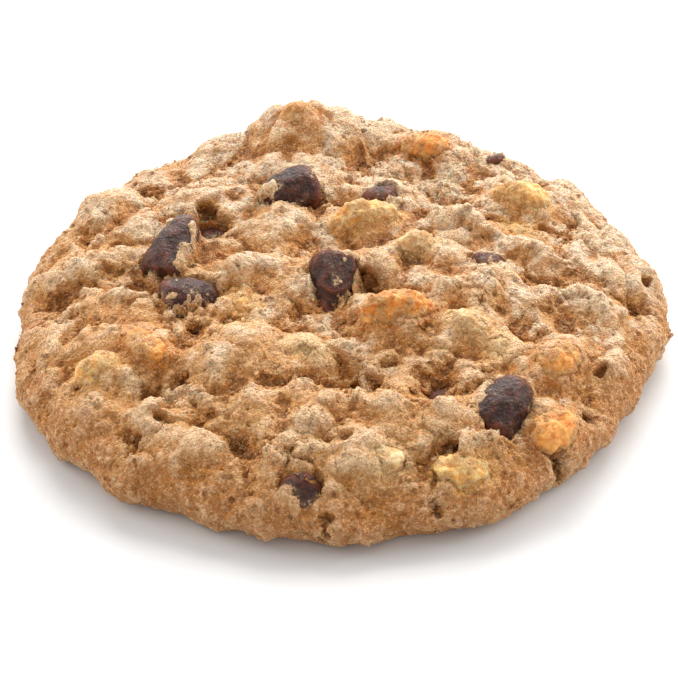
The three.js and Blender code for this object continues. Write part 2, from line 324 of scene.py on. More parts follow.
@dataclass
class Skin:
    """A triangle mesh being sculpted: vertices, triangles and what each vertex carries for the finish."""

    vertices: np.ndarray
    triangles: np.ndarray
    traits: dict[str, np.ndarray] = field(default_factory=dict)
    shading: np.ndarray | None = None

    def normals(self) -> np.ndarray:
        """Unit normals at the vertices, weighted by the area of the triangles around them."""
        a, b, c = (self.vertices[self.triangles[:, i]] for i in range(3))
        face = np.cross(b - a, c - a)
        total = np.stack(
            [
                sum(np.bincount(self.triangles[:, i], face[:, axis], len(self.vertices)) for i in range(3))
                for axis in range(3)
            ],
            axis=1,
        )
        return total / np.maximum(np.linalg.norm(total, axis=1, keepdims=True), 1e-12)

    def relaxed(self, values: np.ndarray, rounds: int) -> np.ndarray:
        """Spreads values over neighbouring vertices.

        Args:
            values: One row for each vertex.
            rounds: How often each vertex takes its neighbours' mean.

        Returns:
            The smoothed values.
        """
        pairs = np.concatenate([self.triangles[:, [i, (i + 1) % 3]] for i in range(3)])
        count = len(self.vertices)
        degree = np.maximum(np.bincount(pairs[:, 0], minlength=count), 1.0)
        spread = values.copy()
        for _ in range(rounds):
            columns = [np.bincount(pairs[:, 0], column[pairs[:, 1]], count) for column in spread.T]
            spread = np.stack(columns, axis=1) / degree[:, None]
        return spread

    def hollowness(self, rounds: int) -> np.ndarray:
        """Depth of each vertex below its smoothed surroundings: hollows are positive, crests negative."""
        return np.einsum("ij,ij->i", self.relaxed(self.vertices, rounds) - self.vertices, self.normals())

    def push_out(self, distance: np.ndarray, rows: np.ndarray | slice = slice(None)) -> None:
        """Moves vertices out along their normals, all of them or only some rows."""
        self.vertices[rows] += distance[:, None] * self.normals()[rows]

    def keep_above_table(self) -> None:
        """Lifts vertices that would lie under the table."""
        self.vertices[:, 2] = np.maximum(self.vertices[:, 2], 0.0)

    def tree(self) -> BVHTree:
        """Search tree of the triangles."""
        return BVHTree.FromPolygons(self.vertices.tolist(), self.triangles.tolist())

    def part(self, chosen: np.ndarray) -> Skin:
        """Takes some triangles as a skin of their own, which keeps the whole skin's shading at the cut.

        Args:
            chosen: Whether each triangle belongs to the part.

        Returns:
            The part.
        """
        used, triangles = np.unique(self.triangles[chosen], return_inverse=True)
        traits = {name: values[used] for name, values in self.traits.items()}
        return Skin(self.vertices[used], triangles.reshape(-1, 3), traits, self.normals()[used])

    def build(self, name: str) -> bpy.types.Object:
        """Makes the Blender object in metres, smooth shaded, with its traits as attributes.

        Args:
            name: The piece's name.

        Returns:
            The linked object.
        """
        mesh = bpy.data.meshes.new(name)
        mesh.vertices.add(len(self.vertices))
        mesh.vertices.foreach_set("co", (self.vertices * MM).astype(np.float32).ravel())
        mesh.loops.add(self.triangles.size)
        mesh.loops.foreach_set("vertex_index", self.triangles.astype(np.int32).ravel())
        mesh.polygons.add(len(self.triangles))
        mesh.polygons.foreach_set("loop_start", np.arange(0, self.triangles.size, 3, dtype=np.int32))
        mesh.update(calc_edges=True)
        mesh.validate()
        mesh.shade_smooth()
        if self.shading is not None:
            mesh.normals_split_custom_set_from_vertices(self.shading.tolist())
        for trait, values in self.traits.items():
            layer = mesh.attributes.new(trait, "FLOAT", "POINT")
            layer.data.foreach_set("value", values.astype(np.float32))
        piece = bpy.data.objects.new(name, mesh)
        bpy.context.scene.collection.objects.link(piece)
        return piece


@dataclass
class Crown:
    """The cookie's main form, from the same sizes as the solid dough."""

    radius: float = 43.4
    centre_height: float = 12.2
    rim_height: float = 3.6
    flat_share: float = 0.91
    crown_power: float = 3.2
    shoulder_power: float = 0.4
    lump_drop: float = 2.5
    lump_power: float = 0.75
    lump_blend: float = 0.5
    lump_sink: float = 0.1
    crevice_depth: float = 2.4
    small_lump_spacing: float = 6.6
    small_lump_reach: float = 5.6
    small_lump_lift: tuple[float, float] = (-1.6, 0.1)
    rim_relief_start: float = 0.88
    rim_relief_kept: float = 0.45

    def outline(self, angle: np.ndarray) -> np.ndarray:
        """Radius of the outline in each direction."""
        radius = np.full_like(angle, self.radius)
        for direction, half_width, distance in OUTLINE_SWELLS:
            away = (np.degrees(angle) - direction + 180) % 360 - 180
            radius += distance * np.exp(-((away / half_width) ** 2))
        for lobes, distance, phase in OUTLINE_LOBES:
            radius += distance * np.sin(lobes * angle + phase)
        return radius

    def spiral_lumps(self) -> list[tuple[float, ...]]:
        """Small lumps on a sunflower spiral, drawn as the solid draws them."""
        state = 7
        golden_angle = math.pi * (3 - math.sqrt(5))
        step = self.small_lump_spacing / math.sqrt(math.pi)
        lowest, highest = self.small_lump_lift
        lumps = []
        for i in range(math.floor((self.radius / step) ** 2)):
            draws = []
            for _ in range(3):
                state = (state * 1664525 + 1013904223) & 0xFFFFFFFF
                draws.append(state / 4294967296)
            away = step * math.sqrt(i + 0.5)
            stretch = 0.75 + 0.5 * draws[0]
            lumps.append(
                (
                    away * math.cos(i * golden_angle),
                    away * math.sin(i * golden_angle),
                    self.small_lump_reach * stretch,
                    self.small_lump_reach / stretch,
                    180 * draws[1],
                    lowest + (highest - lowest) * draws[2],
                )
            )
        return lumps

    def relief(self, place: np.ndarray) -> tuple[np.ndarray, np.ndarray]:
        """Height of the broken crust over the smooth crown.

        Args:
            place: Places in the plan.

        Returns:
            The height, and how far each place stands clear of the crease between two lumps.
        """
        total = np.full(len(place), math.exp(-self.crevice_depth / self.lump_blend))
        best = np.full(len(place), -self.crevice_depth)
        second = best.copy()
        for lump_x, lump_y, reach_along, reach_across, turn, lift in (*LUMPS, *self.spiral_lumps()):
            along, across = turned(place, lump_x, lump_y, turn)
            away = (along / reach_along) ** 2 + (across / reach_across) ** 2
            cap = lift - self.lump_drop * away**self.lump_power
            total += np.exp(cap / self.lump_blend)
            second = np.maximum(second, np.minimum(best, cap))
            best = np.maximum(best, cap)
        height = self.lump_blend * np.log(total) - self.lump_sink
        for hollow_x, hollow_y, radius, depth in HOLLOWS:
            away = (place[:, 0] - hollow_x) ** 2 + (place[:, 1] - hollow_y) ** 2
            height -= depth * np.exp(-2 * away / radius**2)
        return height, best - second


@dataclass(frozen=True)
class Crags:
    """One size of the crust's unevenness: how wide, how high, and how much of it stays on whole skin and rim.

    Round crags have full tops with sharp creases between them, as torn crumb has.
    """

    size: float
    height: float
    seed: int
    on_skin: float
    on_rim: float
    round_tops: float = 0.0

    def push(self, points: np.ndarray, torn: np.ndarray, rim: np.ndarray) -> np.ndarray:
        """How far the crags stand out.

        Args:
            points: Places on the crust.
            torn: How far the skin is torn open at each place, from 0 to 1.
            rim: How near each place is to the rim, from 0 to 1.

        Returns:
            One outward distance for each place.
        """
        strayed = shifted(points, 1.2 * self.size, 0.4 * self.size, self.seed + 40)
        swell = swell_noise(strayed, self.size, self.seed)
        full = 2.4 * np.sqrt(swell**2 + 0.004) - 0.7
        share = (self.on_skin + (1 - self.on_skin) * torn) * (1 - (1 - self.on_rim) * rim)
        return self.height * share * (swell + self.round_tops * (full - swell))


@dataclass(frozen=True)
class Clumps:
    """Rounded clumps of torn crumb, each a dome with a sharp crease around it."""

    size: float
    height: float
    seed: int
    on_skin: float

    def push(self, points: np.ndarray, torn: np.ndarray) -> np.ndarray:
        """How far the clumps stand out.

        Args:
            points: Places on the crust.
            torn: How far the skin is torn open at each place, from 0 to 1.

        Returns:
            One outward distance for each place.
        """
        strayed = shifted(points, 0.8 * self.size, 0.3 * self.size, self.seed + 40)
        near, own = cell_noise(strayed, self.size, self.seed)
        dome = np.sqrt(np.maximum(0, 1 - (near / 0.95) ** 2)) - 0.75
        return self.height * (self.on_skin + (1 - self.on_skin) * torn) * (dome + 0.3 * (own - 0.5))


@dataclass(frozen=True)
class Flakes:
    """Broken plates of crust, one a step above the next, with ragged edges."""

    size: float
    step: float
    edge: float
    seed: int

    def push(self, points: np.ndarray) -> np.ndarray:
        """How far the plates stand out: one outward distance for each place."""
        strayed = shifted(points, self.size, 0.3 * self.size, self.seed + 40)
        plates = layered_noise(strayed, self.size, self.seed, 4)
        return self.step * (smooth_step(-self.edge, self.edge, plates) - 0.5)


@dataclass
class Crust:
    """The dough's skin: crown, rim and underside with lumps, cracks, folds and crumb."""

    crown: Crown = field(default_factory=Crown)
    rings: int = 232
    crown_rings: int = 180
    tuck_rings: int = 24
    ragged: float = 0.9
    ragged_size: float = 3.2
    drift: float = 1.8
    drift_size: float = 9.0
    crack_depth: float = 0.7
    crack_width: float = 0.35
    crack_patch: float = 9.0
    crags: tuple[Crags, ...] = (
        Crags(6.0, 0.85, 41, 0.8, 0.8),
        Crags(3.2, 0.4, 51, 0.6, 1.6, 0.4),
        Crags(1.7, 0.22, 61, 0.3, 2.0, 0.5),
        Crags(0.95, 0.2, 71, 0.35, 1.6, 0.5),
        Crags(0.55, 0.17, 76, 0.8, 1.2),
    )
    flakes: tuple[Flakes, ...] = (
        Flakes(7.0, 0.5, 0.1, 111),
        Flakes(3.5, 0.2, 0.1, 131),
    )
    clumps: tuple[Clumps, ...] = (
        Clumps(3.0, 1.0, 141, 0.5),
        Clumps(1.6, 0.5, 151, 0.45),
    )
    edge_ragged: float = 0.6
    edge_ragged_size: float = 4.5
    wrinkle_spacing: float = 4.6
    wrinkle_stretch: float = 3.2
    wrinkle_height: float = 1.4
    wrinkle_drift: float = 1.4
    wrinkle_drift_size: float = 5.0
    pit_drift: float = 0.45
    pit_drift_size: float = 1.6
    pore_spacing: float = 1.7
    pore_depth: float = 0.35
    torn_patch: float = 8.0
    toast_patch: float = 7.0
    pale_patch: float = 5.0
    # Painted light: the crust is painted paler towards the back and right and where it faces up, where the
    # lamps light it.
    back_painted_light: float = 0.6
    level_painted_light: float = 2.0
    # Rounds of smoothing that set how wide a hollow has to be to count.
    broad_rounds: int = 120
    fold_rounds: int = 60
    narrow_rounds: int = 16
    fine_rounds: int = 10
    # Rounds of smoothing that soften what was found, steep sides and drawn dough.
    blur_rounds: int = 8
    steep_rounds: int = 3
    drawn_rounds: int = 6

    def profile(self) -> np.ndarray:
        """Shares of the radius that split the smooth crown into rings of even width along its slope."""
        crown = self.crown
        share = np.sin(np.linspace(0, math.pi / 2, 4000)) ** (2 / crown.crown_power)
        dome = np.maximum(0, 1 - share**crown.crown_power) ** crown.shoulder_power
        rise = crown.centre_height - crown.rim_height
        step = np.hypot(np.diff(share) * crown.radius, np.diff(dome) * rise)
        along = np.concatenate([[0.0], np.cumsum(step)])
        return np.interp(np.linspace(0, along[-1], self.rings + 1), along, share)

    def rings_of_points(self) -> tuple[np.ndarray, np.ndarray, np.ndarray]:
        """Lays even rings over crown and rim, and then under the edge to the flat underside.

        Returns:
            Share of the radius, direction and how far under the widest line each point is, from 0 to 1.
        """
        share, angle, under = [np.zeros(1)], [np.zeros(1)], [np.zeros(1)]
        reaches = self.profile()
        for ring in range(1, self.rings + 1):
            turn = np.arange(6 * ring) * (2 * math.pi / (6 * ring))
            share.append(np.full(turn.shape, reaches[ring]))
            angle.append(turn)
            under.append(np.zeros(turn.shape))
        for ring in range(1, self.tuck_rings + 1):
            below = ring / self.tuck_rings
            reach = self.crown.flat_share + (1 - self.crown.flat_share) * math.cos(math.pi / 2 * below)
            share.append(np.full(angle[self.rings].shape, reach))
            angle.append(angle[self.rings])
            under.append(np.full(angle[self.rings].shape, below))
        return np.concatenate(share), np.concatenate(angle), np.concatenate(under)

    def ring_triangles(self) -> np.ndarray:
        """Joins the rings, each with six points more than the one inside it, and closes the underside."""
        found = []
        for ring in range(self.rings):
            inner, outer = max(0, 1 + 3 * ring * (ring - 1)), 1 + 3 * ring * (ring + 1)
            inner_count, outer_count = max(1, 6 * ring), 6 * (ring + 1)
            for sector in range(6):
                step = np.arange(ring + 1)
                near = inner + (sector * ring + step) % inner_count
                far = outer + sector * (ring + 1) + step
                far_next = outer + (sector * (ring + 1) + step + 1) % outer_count
                found.append(np.stack([near, far, far_next], axis=1))
                near_next = inner + (sector * ring + step[:-1] + 1) % inner_count
                found.append(np.stack([near[:-1], far_next[:-1], near_next], axis=1))
        count = 6 * self.rings
        edge = 1 + 3 * self.rings * (self.rings - 1)
        step = np.arange(count)
        after = (step + 1) % count
        for ring in range(self.tuck_rings):
            upper, lower = edge + ring * count, edge + (ring + 1) * count
            found.append(np.stack([upper + step, lower + step, lower + after], axis=1))
            found.append(np.stack([upper + step, lower + after, upper + after], axis=1))
        last = edge + self.tuck_rings * count
        middle = np.full(count, last + count)
        found.append(np.stack([last + step, middle, last + after], axis=1))
        return np.concatenate(found)

    def main_form(self) -> Skin:
        """Crown, rim and underside with the lumps and cracks of the broken crust."""
        crown = self.crown
        share, angle, under = self.rings_of_points()
        radius = share * crown.outline(angle)
        outer = crown.radius * np.stack([np.cos(angle), np.sin(angle), 0 * angle], axis=1)
        lobes = layered_noise(outer, self.edge_ragged_size, Seed.EDGE)
        radius += self.edge_ragged * smooth_step(0.8, 0.98, share) * lobes
        plan = np.stack([radius * np.cos(angle), radius * np.sin(angle), 0 * radius], axis=1)
        drifted = shifted(plan, self.drift_size, self.drift, Seed.DRIFT)
        relief, clear = crown.relief(shifted(drifted, self.ragged_size, self.ragged, Seed.RAGGED))
        opened = smooth_step(-0.3, 0.35, layered_noise(plan, self.crack_patch, Seed.CRACK))
        relief -= self.crack_depth * opened * np.exp(-clear / self.crack_width)
        dome = np.maximum(0, 1 - share**crown.crown_power) ** crown.shoulder_power
        flatten = smooth_step(crown.rim_relief_start, 1, share)
        kept = (1 - (1 - crown.rim_relief_kept) * flatten) * np.minimum(1, dome * 4)
        top = crown.rim_height + (crown.centre_height - crown.rim_height) * dome + kept * relief
        bottom = crown.rim_height * (1 - np.sin(math.pi / 2 * under))
        plan[:, 2] = np.where(under > 0, bottom, top)
        skin = Skin(np.concatenate([plan, np.zeros((1, 3))]), self.ring_triangles())
        skin.traits["share"] = np.append(share, 0.0)
        skin.traits["under"] = np.append(under, 1.0)
        skin.traits["relief"] = np.append(relief, 0.0)
        for mark in ("drawn", "stain", *[tone.glow for tone in NutTone]):
            skin.traits[mark] = np.zeros(len(skin.vertices))
        return skin

    def pit_depth(self, skin: Skin) -> np.ndarray:
        """Depth of the single dark pits at each vertex."""
        place = shifted(skin.vertices, self.pit_drift_size, self.pit_drift, Seed.PIT)
        depth = np.zeros(len(place))
        for pit_x, pit_y, half_length, half_width, turn, deepest in PITS:
            along, across = turned(place, pit_x, pit_y, turn)
            away = np.hypot(along / half_length, across / half_width)
            depth = np.maximum(depth, deepest * (1 - smooth_step(0.4, 1.2, away)))
        return depth * (skin.traits["under"] < 0.5)

    def wrinkles(self, skin: Skin) -> np.ndarray:
        """Long folds around the cookie, where the dough slumped outwards, as outward distances."""
        radius = np.hypot(skin.vertices[:, 0], skin.vertices[:, 1])
        stretch = self.crown.radius / self.wrinkle_stretch / np.maximum(radius, 1e-6)
        unrolled = np.column_stack([skin.vertices[:, :2] * stretch[:, None], radius])
        drifted = shifted(unrolled, self.wrinkle_drift_size, self.wrinkle_drift, Seed.WRINKLE_DRIFT)
        swell = swell_noise(drifted, self.wrinkle_spacing, Seed.WRINKLE)
        share = skin.traits["share"]
        where = smooth_step(0.3, 0.65, share) * (1 - smooth_step(0.93, 1.0, share))
        return self.wrinkle_height * where * (np.sqrt(swell**2 + 0.02) - 0.3)

    def sculpt(self, skin: Skin) -> None:
        """Breaks the main form into folds, crumb and pores, each pushed out along the last one's normals."""
        free = 1 - smooth_step(0.3, 0.95, skin.traits["under"])
        rim = smooth_step(0.86, 0.97, skin.traits["share"])
        low = smooth_step(0.2, -2.6, skin.traits["relief"])
        patches = layered_noise(skin.vertices, self.torn_patch, Seed.TORN)
        torn = smooth_step(-0.1, 0.7, patches + 0.9 * low) * (1 - 0.8 * rim)
        skin.traits["torn"] = torn
        skin.push_out(free * self.wrinkles(skin))
        for flakes in self.flakes:
            skin.push_out(free * (1 - 0.6 * rim) * flakes.push(skin.vertices))
        for clumps in self.clumps:
            skin.push_out(free * (1 - 0.4 * rim) * clumps.push(skin.vertices, torn))
        for crags in self.crags:
            skin.push_out(free * crags.push(skin.vertices, torn, rim))
        skin.push_out(-self.pit_depth(skin))
        near, own = cell_noise(skin.vertices, self.pore_spacing, Seed.PORE)
        pore = (1 - smooth_step(0.12, 0.26, near)) * (own < 0.15 + 0.35 * rim)
        skin.push_out(-self.pore_depth * free * pore)
        steep = smooth_step(0.5, 0.2, skin.normals()[:, 2]) * (1 - rim)
        skin.vertices += steep[:, None] * (skin.relaxed(skin.vertices, self.steep_rounds) - skin.vertices)
        skin.keep_above_table()

    def weather(self, skin: Skin) -> None:
        """Works out the colour marks of each place: browned rim with painted shade at its front, random pale
        patches, painted light on crests, ridges and lit sides, and painted shade in hollows, folds and
        creases.
        """
        hollow = skin.hollowness(self.broad_rounds) + 1.5 * skin.hollowness(self.narrow_rounds)
        shaded_fold = skin.hollowness(self.fold_rounds)
        hollow, shaded_fold = skin.relaxed(np.column_stack([hollow, shaded_fold]), self.blur_rounds).T
        # Painted shade: hollows and folds are coloured darker and more golden, partly the open crumb's own
        # colour. Painted highlight: crests are coloured paler.
        skin.traits["hollow"] = smooth_step(0.1, 1.1, hollow)
        skin.traits["lit_crest"] = smooth_step(0.0, 1.1, -hollow)
        skin.traits["shaded_fold"] = smooth_step(-0.02, 0.22, shaded_fold)
        # Painted shade in the fine creases and painted highlights on the fine ridges.
        fine = skin.relaxed(skin.hollowness(self.fine_rounds)[:, None], 1)[:, 0]
        skin.traits["crease"] = smooth_step(0.02, 0.18, fine)
        skin.traits["lit_ridge"] = smooth_step(0.02, 0.18, -fine)
        right, back = skin.vertices[:, :2].T / self.crown.radius
        # Browned rim, more so at the front, the side away from the lamps: real browning with painted shade at
        # the front.
        rim = smooth_step(0.82, 0.99, skin.traits["share"]) * (0.55 + 0.45 * smooth_step(0.2, -0.7, back))
        patches = layered_noise(skin.vertices, self.toast_patch, Seed.TOAST)
        skin.traits["toast_and_front_shade"] = np.clip(0.75 * rim + 0.45 * patches, 0, 1)
        # Random pale patches, with painted light where the crust faces up and towards the back and right,
        # where the lamps stand.
        level = Skin(skin.relaxed(skin.vertices, self.fine_rounds), skin.triangles).normals()[:, 2]
        paler = 0.7 * layered_noise(skin.vertices, self.pale_patch, Seed.PALE)
        paler += self.back_painted_light * (back + 0.4 * right) + self.level_painted_light * (level - 0.8)
        skin.traits["pale"] = smooth_step(-0.2, 0.75, paler)

    def build(self, inlays: list[Inlay]) -> Skin:
        """Makes the whole skin and lets it give way to the pieces set in it.

        Args:
            inlays: The chips and nuts.

        Returns:
            The sculpted skin with its traits.
        """
        skin = self.main_form()
        self.sculpt(skin)
        for inlay in inlays:
            inlay.press_into(skin)
        # Dough drawn over the pieces is evened out and then takes the three finest crags.
        drawn = skin.relaxed(skin.traits["drawn"][:, None], 2)
        skin.vertices += drawn * (skin.relaxed(skin.vertices, self.drawn_rounds) - skin.vertices)
        drawn = drawn[:, 0]
        for crags in self.crags[-3:]:
            skin.push_out(drawn * crags.push(skin.vertices, drawn, 0 * drawn))
        skin.keep_above_table()
        self.weather(skin)
        return skin

    def pieces(self, skin: Skin) -> dict[str, Skin]:
        """Splits the skin into crown and rim, so that neither mesh grows too heavy.

        Args:
            skin: The finished skin.

        Returns:
            The two parts by name.
        """
        inner = np.arange(len(skin.triangles)) < 6 * self.crown_rings**2
        return {"baked_crown": skin.part(inner), "baked_rim": skin.part(~inner)}


@dataclass
class Inlay:
    """One chip or nut that is set in the crust, made from its solid's own form."""

    node: str
    seed: int
    voxel: float = 0.22
    dent: float = 1.0
    dent_size: float = 4.0
    rough: float = 0.05
    rough_size: float = 0.7
    rounding: int = 5
    # How far around the piece the crust is looked at, and the size of the patches in which it gives way.
    bed_margin: float = 2.5
    bed_patch: float = 4.0
    # How far over the piece the crust may stand where it leaves it bare.
    bare_limit: float = 9.0
    # Distance from the crust at which its traces on the piece end.
    touch_reach: float = 1.2
    # Side that the dough is drawn over the piece from, in degrees, and the share of the piece that it hides.
    cover_from: float = 0.0
    cover_share: float = 0.3
    cover_ragged: float = 0.3
    cover_ragged_size: float = 1.8
    cover_thickness: float = 0.45
    # Only crust that faces up and lies within this share of the radius is drawn over a piece.
    cover_least_level: float = 0.15
    cover_rim_share: float = 0.93
    skin: Skin = field(init=False)

    def __post_init__(self) -> None:
        """Shapes the piece as soon as its sizes are known."""
        self.skin = self.shaped()

    def shaped(self) -> Skin:
        """Remeshes the solid evenly, rounds its facets and roughens it.

        Returns:
            The piece's skin.
        """
        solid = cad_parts[self.node]
        copy = bpy.data.objects.new(self.node + "_even", solid.data.copy())
        bpy.context.scene.collection.objects.link(copy)
        even = copy.modifiers.new("even", "REMESH")
        even.mode = "VOXEL"
        even.voxel_size = self.voxel * MM
        result = copy.evaluated_get(bpy.context.evaluated_depsgraph_get()).to_mesh()
        result.calc_loop_triangles()
        vertices = np.empty(3 * len(result.vertices), np.float32)
        result.vertices.foreach_get("co", vertices)
        triangles = np.empty(3 * len(result.loop_triangles), np.int32)
        result.loop_triangles.foreach_get("vertices", triangles)
        copy.to_mesh_clear()
        mesh = copy.data
        bpy.data.objects.remove(copy)
        bpy.data.meshes.remove(mesh)
        used, triangles = np.unique(triangles, return_inverse=True)
        skin = Skin(vertices.reshape(-1, 3)[used].astype(float) / MM, triangles.reshape(-1, 3))
        skin.vertices = skin.relaxed(skin.vertices, self.rounding)
        push = self.dent * (0.3 - np.abs(layered_noise(skin.vertices, self.dent_size, self.seed)))
        push += self.rough * swell_noise(skin.vertices, self.rough_size, self.seed + 5)
        skin.push_out(push)
        return skin

    def boxed(self, points: np.ndarray, margin: float) -> np.ndarray:
        """Rows of the places that lie in a box around the piece, widened by a margin."""
        low, high = self.skin.vertices.min(0) - margin, self.skin.vertices.max(0) + margin
        return np.flatnonzero(np.all((points > low) & (points < high), axis=1))

    def close_to(self, points: np.ndarray) -> tuple[np.ndarray, np.ndarray]:
        """Finds the places around the piece.

        Args:
            points: Places, one row of three each.

        Returns:
            Which rows lie in a box around the piece, and their distance from its surface, negative inside.
        """
        close = self.boxed(points, self.bed_margin)
        tree = self.skin.tree()
        away = np.empty(len(close))
        for row, index in enumerate(close):
            place, normal, _, distance = tree.find_nearest(Vector(points[index]))
            inside = (Vector(points[index]) - place).dot(normal) < 0
            away[row] = -distance if inside else distance
        return close, away

    def cover(self, crust: Skin) -> None:
        """Draws the dough over one side of the piece, up to a ragged edge.

        Args:
            crust: The crust's skin.
        """
        low, high = self.skin.vertices.min(0)[:2], self.skin.vertices.max(0)[:2]
        inside = np.all((crust.vertices[:, :2] > low) & (crust.vertices[:, :2] < high), axis=1)
        inside &= crust.normals()[:, 2] > self.cover_least_level
        under = np.flatnonzero(inside & (crust.traits["share"] < self.cover_rim_share))
        tree = self.skin.tree()
        down = Vector((0, 0, -1))
        places = crust.vertices[under]
        hits = [tree.ray_cast(Vector((x, y, FAR_MM)), down)[:2] for x, y, _ in places]
        top = np.array([-FAR_MM if place is None else place.z for place, _ in hits])
        lean = np.array([0.0 if place is None else facing.z for place, facing in hits])
        # The share runs from 0 on the bare side of the piece to 1 on the side that the dough comes from.
        turn = math.radians(self.cover_from)
        along = (places[:, :2] - (low + high) / 2) @ np.array([math.cos(turn), math.sin(turn)])
        reach = np.percentile(along[top > 0], (2, 98)) if np.any(top > 0) else np.array([-1.0, 1.0])
        share = (along - reach[0]) / (reach[1] - reach[0])
        ragged = layered_noise(places, self.cover_ragged_size, self.seed + 13, 4)
        edge = share - (1 - self.cover_share) + self.cover_ragged * ragged
        drawn = smooth_step(-0.06, 0.06, edge) * smooth_step(0.1, 0.4, lean)
        lifted = np.maximum(places[:, 2], top + self.cover_thickness)
        bare = self.bared(places[:, 2], top)
        crust.vertices[under, 2] = np.where(top > 0, bare + drawn * (lifted - bare), places[:, 2])
        crust.traits["drawn"][under] = np.maximum(crust.traits["drawn"][under], drawn * (top > 0))

    def bared(self, crust_height: np.ndarray, top: np.ndarray) -> np.ndarray:
        """Height of the crust where it leaves the piece bare, from its height so far and the piece's top."""
        return np.minimum(crust_height, top + self.bare_limit)

    def edge_share(self, crust: Skin) -> np.ndarray:
        """How near each vertex of the piece is to the crust.

        Args:
            crust: The crust's finished skin.

        Returns:
            From 1 at the crust to 0 at the touch's reach.
        """
        close = crust.vertices[self.boxed(crust.vertices, self.touch_reach)]
        tree = KDTree(len(close))
        for index, place in enumerate(close):
            tree.insert(place, index)
        tree.balance()
        away = np.array([tree.find(place)[2] for place in self.skin.vertices])
        return 1 - smooth_step(0.0, self.touch_reach, away)

    def press_into(self, crust: Skin) -> None:
        """Marks and shapes the crust around the piece.

        Args:
            crust: The crust's skin.
        """
        raise NotImplementedError

    def weather(self, crust: Skin) -> None:
        """Marks the piece where the crust touches it.

        Args:
            crust: The crust's finished skin.
        """
        raise NotImplementedError


@dataclass
class Chip(Inlay):
    """A chocolate chip with the torn hollow around it."""

    voxel: float = 0.24
    dent: float = 0.6
    dent_size: float = 5.0
    rounding: int = 12
    dig: float = 0.8
    lip: float = 0.6
    dig_reach: float = 1.4
    stain_reach: float = 1.0
    smear_size: float = 2.6
    worn_rounds: int = 14
    clear: float = 0.3

    def bared(self, crust_height: np.ndarray, top: np.ndarray) -> np.ndarray:
        """Keeps the crust under the bare part of the chip."""
        return np.minimum(crust_height, top - self.clear)

    def press_into(self, crust: Skin) -> None:
        """Digs an uneven moat around the chip and stains its edge."""
        close, away = self.close_to(crust.vertices)
        uneven = smooth_step(-0.3, 0.5, layered_noise(crust.vertices[close], self.bed_patch, self.seed + 9))
        near = 1 - smooth_step(0.0, self.dig_reach, away)
        push = self.lip * near * (1 - uneven) * (away > 0) - self.dig * near * uneven
        crust.push_out(push, close)
        stain = (1 - smooth_step(0.0, self.stain_reach, away)) * uneven
        crust.traits["stain"][close] = np.maximum(crust.traits["stain"][close], stain)
        self.cover(crust)

    def weather(self, crust: Skin) -> None:
        """Smears dough over parts of the chip and marks its convex edges, which are painted lighter and
        redder: partly rubbed wear, partly painted highlight.
        """
        near = self.edge_share(crust)
        patches = layered_noise(self.skin.vertices, self.smear_size, self.seed + 3)
        # Convex edges: rubbed wear, which the chocolate finish also paints lighter and redder as a lit edge.
        worn = smooth_step(0.02, 0.25, -self.skin.hollowness(self.worn_rounds))
        smear = smooth_step(0.0, 0.8, patches + 0.5 * near - 0.2 * worn)
        self.skin.traits.update(smear=smear, worn=worn)


@dataclass
class Nut(Inlay):
    """A piece of chopped nut, bedded in the crust."""

    voxel: float = 0.2
    dent: float = 1.0
    dent_size: float = 2.4
    rough: float = 0.16
    bed_patch: float = 3.0
    touch_reach: float = 1.8
    cover_share: float = 0.36
    cover_ragged: float = 0.8
    cover_thickness: float = 0.12
    lip: float = 0.3
    lip_reach: float = 1.6
    glow_reach: float = 1.8
    film_size: float = 1.8
    tone: NutTone = NutTone.GOLD

    def press_into(self, crust: Skin) -> None:
        """Raises a lip of dough around the nut and leaves the glow of its oil there."""
        close, away = self.close_to(crust.vertices)
        uneven = smooth_step(-0.4, 0.4, layered_noise(crust.vertices[close], self.bed_patch, self.seed + 9))
        near = (1 - smooth_step(0.0, self.lip_reach, away)) * (away > 0)
        crust.push_out(self.lip * near * uneven, close)
        glow = crust.traits[self.tone.glow]
        glow[close] = np.maximum(glow[close], 1 - smooth_step(0.2, self.glow_reach, away))
        self.cover(crust)

    def weather(self, crust: Skin) -> None:
        """Leaves a film of dough along the nut's edge."""
        near = self.edge_share(crust)
        patches = layered_noise(self.skin.vertices, self.film_size, self.seed + 3)
        self.skin.traits["film"] = smooth_step(0.1, 0.9, near + 0.8 * patches)


